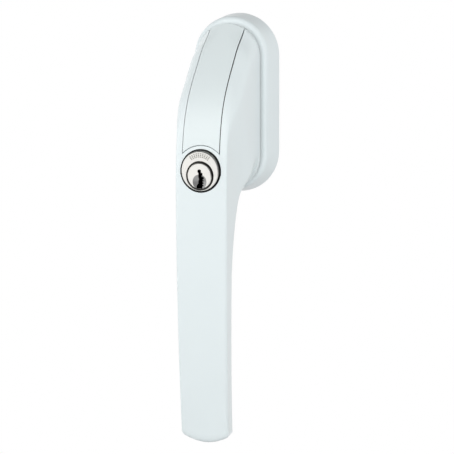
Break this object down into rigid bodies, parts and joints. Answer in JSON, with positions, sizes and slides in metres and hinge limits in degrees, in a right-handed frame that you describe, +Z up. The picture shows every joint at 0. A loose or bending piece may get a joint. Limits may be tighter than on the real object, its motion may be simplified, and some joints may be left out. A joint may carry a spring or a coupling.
{
  "type": "lockable tilt-and-turn window handle",
  "caption": "White lockable window handle: a curved grip turns on a long oval rosette and drives a square spindle; a key lock in its neck holds it.",
  "frame": {"origin": "on the spindle's axis, in the plane where the rosette meets the sash, midway between the fixing screws", "axes": "+Y into the sash along the spindle, +Z up towards the rosette's top, +X to the right as seen from the room; the handle hangs down at rest, which is the closed position"},
  "size_m": [0.036, 0.0814, 0.1763],
  "materials": {
    "painted_body": "white powder coat, satin",
    "painted_cover": "white powder coat, satin",
    "painted_panel": "white powder coat, smoother than the body",
    "white_plastic": "white moulded nylon",
    "nickel": "matt nickel plating on brass, turned face",
    "plug_nickel": "nickel plating on brass, turned face",
    "steel": "zinc plated steel",
    "hard_steel": "hardened steel, bare",
    "zinc": "die cast zinc alloy, as cast",
    "nylon": "natural nylon",
    "pin_brass": "turned brass",
    "gasket_foam": "thin closed cell sealing sheet"
  },
  "bodies": {
    "rosette": {"back_gasket": "gasket_foam", "rosette_base": "zinc", "rosette_cover": "painted_cover", "bearing_bush": "nylon", "index_ring": "steel", "ring_rivets": "steel", "fixing_screw_top": "steel", "fixing_screw_bottom": "steel"},
    "handle": {"handle_body": "painted_body", "base_collar": "white_plastic", "front_panel": "painted_panel", "hub": "zinc", "spindle": "steel", "spindle_pin": "hard_steel", "retaining_circlip": "hard_steel", "wave_washer": "hard_steel", "detent_ball_left": "hard_steel", "detent_ball_right": "hard_steel", "detent_spring_left": "hard_steel", "detent_spring_right": "hard_steel", "lock_body": "nickel", "lock_grub_screw": "hard_steel", "chamber_strip": "pin_brass", "driver_pins": "pin_brass", "pin_springs": "hard_steel", "bolt_cover": "steel"},
    "plug": {"lock_plug": "plug_nickel", "key_pins": "pin_brass", "plug_clip": "hard_steel", "drive_cam": "steel"},
    "bolt": {"locking_bolt": "hard_steel"}
  },
  "joints": [
    {"name": "handle_turn", "type": "hinge", "parent": "rosette", "child": "handle", "pos_m": [0, 0, 0], "axis": [0, -1, 0], "range_deg": [-180, 180]},
    {"name": "key_turn", "type": "hinge", "parent": "handle", "child": "plug", "pos_m": [0, -0.035, -0.0269], "axis": [0, -1, 0], "range_deg": [0, 90]},
    {"name": "bolt_slide", "type": "slide", "parent": "handle", "child": "bolt", "axis": [0, 0, 1], "range_m": [0, 0.0035]}
  ],
  "couplings": [
    {"joint": "key_turn", "follows": "bolt_slide", "rad_per_m": 448.8}
  ]
}
